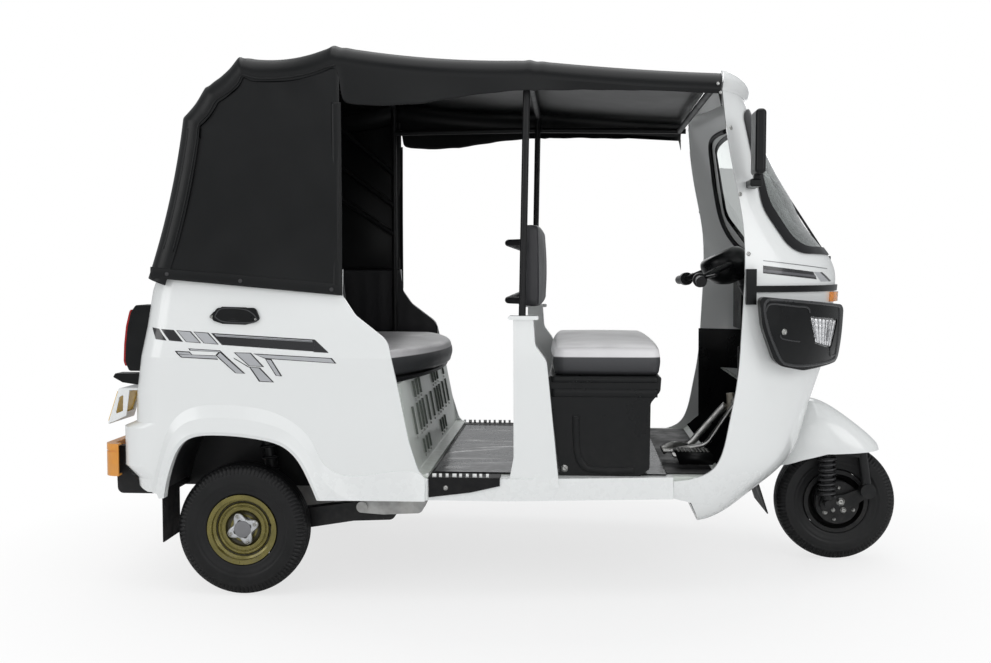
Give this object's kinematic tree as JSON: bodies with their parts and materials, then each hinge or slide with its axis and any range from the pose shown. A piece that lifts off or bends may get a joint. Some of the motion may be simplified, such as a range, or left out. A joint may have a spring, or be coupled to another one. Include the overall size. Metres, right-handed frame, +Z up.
{
  "type": "auto rickshaw",
  "caption": "Three-wheeled passenger vehicle with a sheet-metal body, soft canopy on a tube frame, handlebar steering, bench seats and a rear engine under a top-hinged flap.",
  "frame": {"origin": "on the ground, at the centre of the vehicle's overall length and width", "axes": "+X forward, +Y to the vehicle's left, +Z up"},
  "size_m": [2.6499, 1.329, 1.7399],
  "materials": {
    "white_paint": "gloss",
    "black_paint": "satin",
    "frame_paint": "satin",
    "black_plastic": "satin",
    "canopy_vinyl": "satin coated",
    "seat_vinyl": "satin coated",
    "clear_glass": "clear",
    "lamp_glass": "clear",
    "red_lens": "gloss",
    "amber_lens": "gloss",
    "seal_rubber": "satin",
    "mat_rubber": "satin",
    "tyre_rubber": "matte",
    "rear_rim_paint": "satin",
    "bumper_paint": "gloss",
    "plate_yellow": "satin",
    "cast_metal": "cast",
    "hub_silver": "cast",
    "grip_black": "satin",
    "pedal_steel": "satin"
  },
  "bodies": {
    "body": {"front_cowl": "white_paint", "windscreen": "clear_glass", "windscreen_seal": "seal_rubber", "front_header": "white_paint", "belt_moulding": "black_plastic", "headlamp_pods": "black_plastic", "headlamp_lenses": "lamp_glass", "front_indicators": "amber_lens", "wheel_housing": "white_paint", "dashboard": "black_plastic", "column_tube": "black_paint", "mirrors": "black_plastic", "wiper": "black_paint", "floor_pan": "white_paint", "side_frames": "white_paint", "underframe": "frame_paint", "arm_brackets": "hub_silver", "floor_mats": "mat_rubber", "foot_controls": "pedal_steel", "rear_quarter_right": "white_paint", "rear_quarter_left": "white_paint", "rear_panel": "white_paint", "rear_bulkhead": "white_paint", "seat_deck": "frame_paint", "wheel_arch_liners": "frame_paint", "side_vents": "black_plastic", "tail_lamps": "black_plastic", "tail_lenses": "red_lens", "plate_holder": "white_paint", "number_plate": "plate_yellow", "rear_bumper": "bumper_paint", "mud_flaps": "mat_rubber", "engine_block": "cast_metal", "drive_shafts": "frame_paint", "trailing_arms": "frame_paint", "rear_shocks": "frame_paint", "canopy": "canopy_vinyl", "canopy_frame": "frame_paint", "driver_seat_box": "black_plastic", "driver_cushion": "seat_vinyl", "driver_backrest": "seat_vinyl", "rear_cushion": "seat_vinyl", "rear_seat_back": "seat_vinyl"},
    "steering": {"handlebar": "grip_black", "instrument_nacelle": "black_plastic", "front_fork": "black_paint", "front_arm": "black_paint", "front_shock": "frame_paint", "front_mudguard": "white_paint"},
    "front_wheel": {"front_tyre": "tyre_rubber", "front_rim": "black_paint", "front_hub": "cast_metal"},
    "rear_wheel_right": {"rear_tyre_right": "tyre_rubber", "rear_rim_right": "rear_rim_paint", "rear_hub_right": "hub_silver"},
    "rear_wheel_left": {"rear_tyre_left": "tyre_rubber", "rear_rim_left": "rear_rim_paint", "rear_hub_left": "hub_silver"},
    "engine_flap": {"engine_door": "white_paint"}
  },
  "joints": [
    {"name": "steering_turn", "type": "hinge", "parent": "body", "child": "steering", "pos_m": [1.16, 0, 0.21], "axis": [-0.4226, 0, 0.9063], "range_deg": [-40, 40]},
    {"name": "front_wheel_spin", "type": "hinge", "parent": "steering", "child": "front_wheel", "pos_m": [1.115, 0, 0.21], "axis": [0, 1, 0], "continuous": true},
    {"name": "rear_wheel_right_spin", "type": "hinge", "parent": "body", "child": "rear_wheel_right", "pos_m": [-0.87, -0.575, 0.21], "axis": [0, 1, 0], "continuous": true},
    {"name": "rear_wheel_left_spin", "type": "hinge", "parent": "body", "child": "rear_wheel_left", "pos_m": [-0.87, 0.575, 0.21], "axis": [0, 1, 0], "continuous": true},
    {"name": "engine_flap_open", "type": "hinge", "parent": "body", "child": "engine_flap", "pos_m": [-1.21219, 0, 0.806], "axis": [0, 1, 0], "range_deg": [0, 80]}
  ]
}
